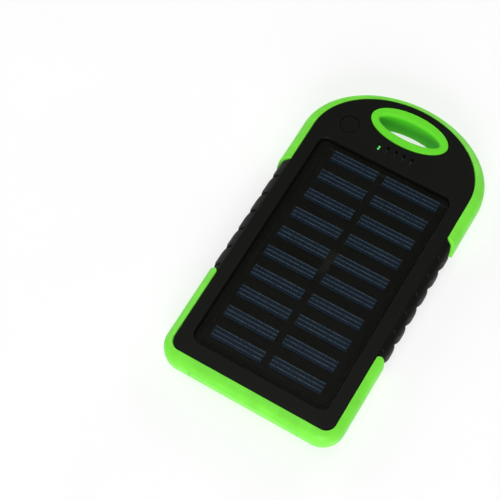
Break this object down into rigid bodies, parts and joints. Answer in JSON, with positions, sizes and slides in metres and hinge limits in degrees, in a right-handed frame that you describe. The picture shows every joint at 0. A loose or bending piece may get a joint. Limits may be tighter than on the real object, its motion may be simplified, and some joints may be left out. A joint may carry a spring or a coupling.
{
  "type": "solar phone charger",
  "caption": "Pocket battery pack with a solar panel face, rubber bumpers, a carrying eye, a power button, status lights and a hinged cover over its charging ports.",
  "frame": {"origin": "under the middle of the charger, on the plane it lies on", "axes": "+X across the width, +Y towards the carrying eye, +Z out of the solar face"},
  "size_m": [0.077, 0.1416, 0.0139],
  "materials": {
    "case_black": "soft-touch black plastic",
    "bumper_green": "satin lime green rubber",
    "seal_grey": "silicone",
    "tape_black": "foam tape",
    "panel_black": "dark speckled laminate",
    "cell_blue": "dark blue silicon with fine pale lines",
    "panel_resin": "clear satin resin",
    "component_black": "moulded black",
    "light_pipe": "clear moulded plastic",
    "led_green": "green light",
    "board_green": "solder mask",
    "led_white": "clear resin",
    "clear_lens": "clear polished",
    "socket_steel": "plated sheet steel",
    "socket_plastic": "moulded",
    "contact_brass": "plated",
    "can_aluminium": "drawn can",
    "screw_steel": "dark plated",
    "pouch_foil": "foil pouch",
    "wire_red": "insulated",
    "wire_black": "insulated",
    "flex_amber": "polyimide"
  },
  "bodies": {
    "case": {"front_cover": "case_black", "rear_cover": "case_black", "upper_bumper": "bumper_green", "lower_bumper": "bumper_green", "eye_liner": "bumper_green", "case_seal": "seal_grey", "panel_adhesive": "tape_black", "solar_substrate": "panel_black", "solar_cells": "cell_blue", "solar_laminate": "panel_resin", "switch_body": "component_black", "light_guide": "light_pipe", "status_leds": "led_green", "indicator_board": "board_green", "torch_led": "led_white", "torch_lens": "clear_lens", "main_board": "board_green", "usb_shells": "socket_steel", "usb_inserts": "socket_plastic", "usb_contacts": "contact_brass", "micro_shell": "socket_steel", "micro_tongue": "socket_plastic", "inductor": "component_black", "power_chips": "component_black", "capacitors": "can_aluminium", "board_screws": "screw_steel", "indicator_screws": "screw_steel", "battery_pad": "tape_black", "battery_cell": "pouch_foil", "battery_board": "board_green", "battery_wire_red": "wire_red", "battery_wire_black": "wire_black", "panel_wire_red": "wire_red", "panel_wire_black": "wire_black", "indicator_flex": "flex_amber", "case_screws": "screw_steel"},
    "button": {"power_button": "case_black"},
    "plunger": {"switch_plunger": "component_black"},
    "flap": {"port_cover": "bumper_green"}
  },
  "joints": [
    {"name": "button_press", "type": "slide", "parent": "case", "child": "button", "axis": [0, 0, 1], "range_m": [-0.00035, 0], "stiffness_N_per_m": 300},
    {"name": "switch_press", "type": "slide", "parent": "case", "child": "plunger", "axis": [0, 0, 1], "range_m": [-0.00035, 0]},
    {"name": "port_cover_hinge", "type": "hinge", "parent": "case", "child": "flap", "pos_m": [0, -0.069, 0.0025], "axis": [1, 0, 0], "range_deg": [0, 90]}
  ],
  "couplings": [
    {"joint": "switch_press", "follows": "button_press", "ratio": 1}
  ]
}
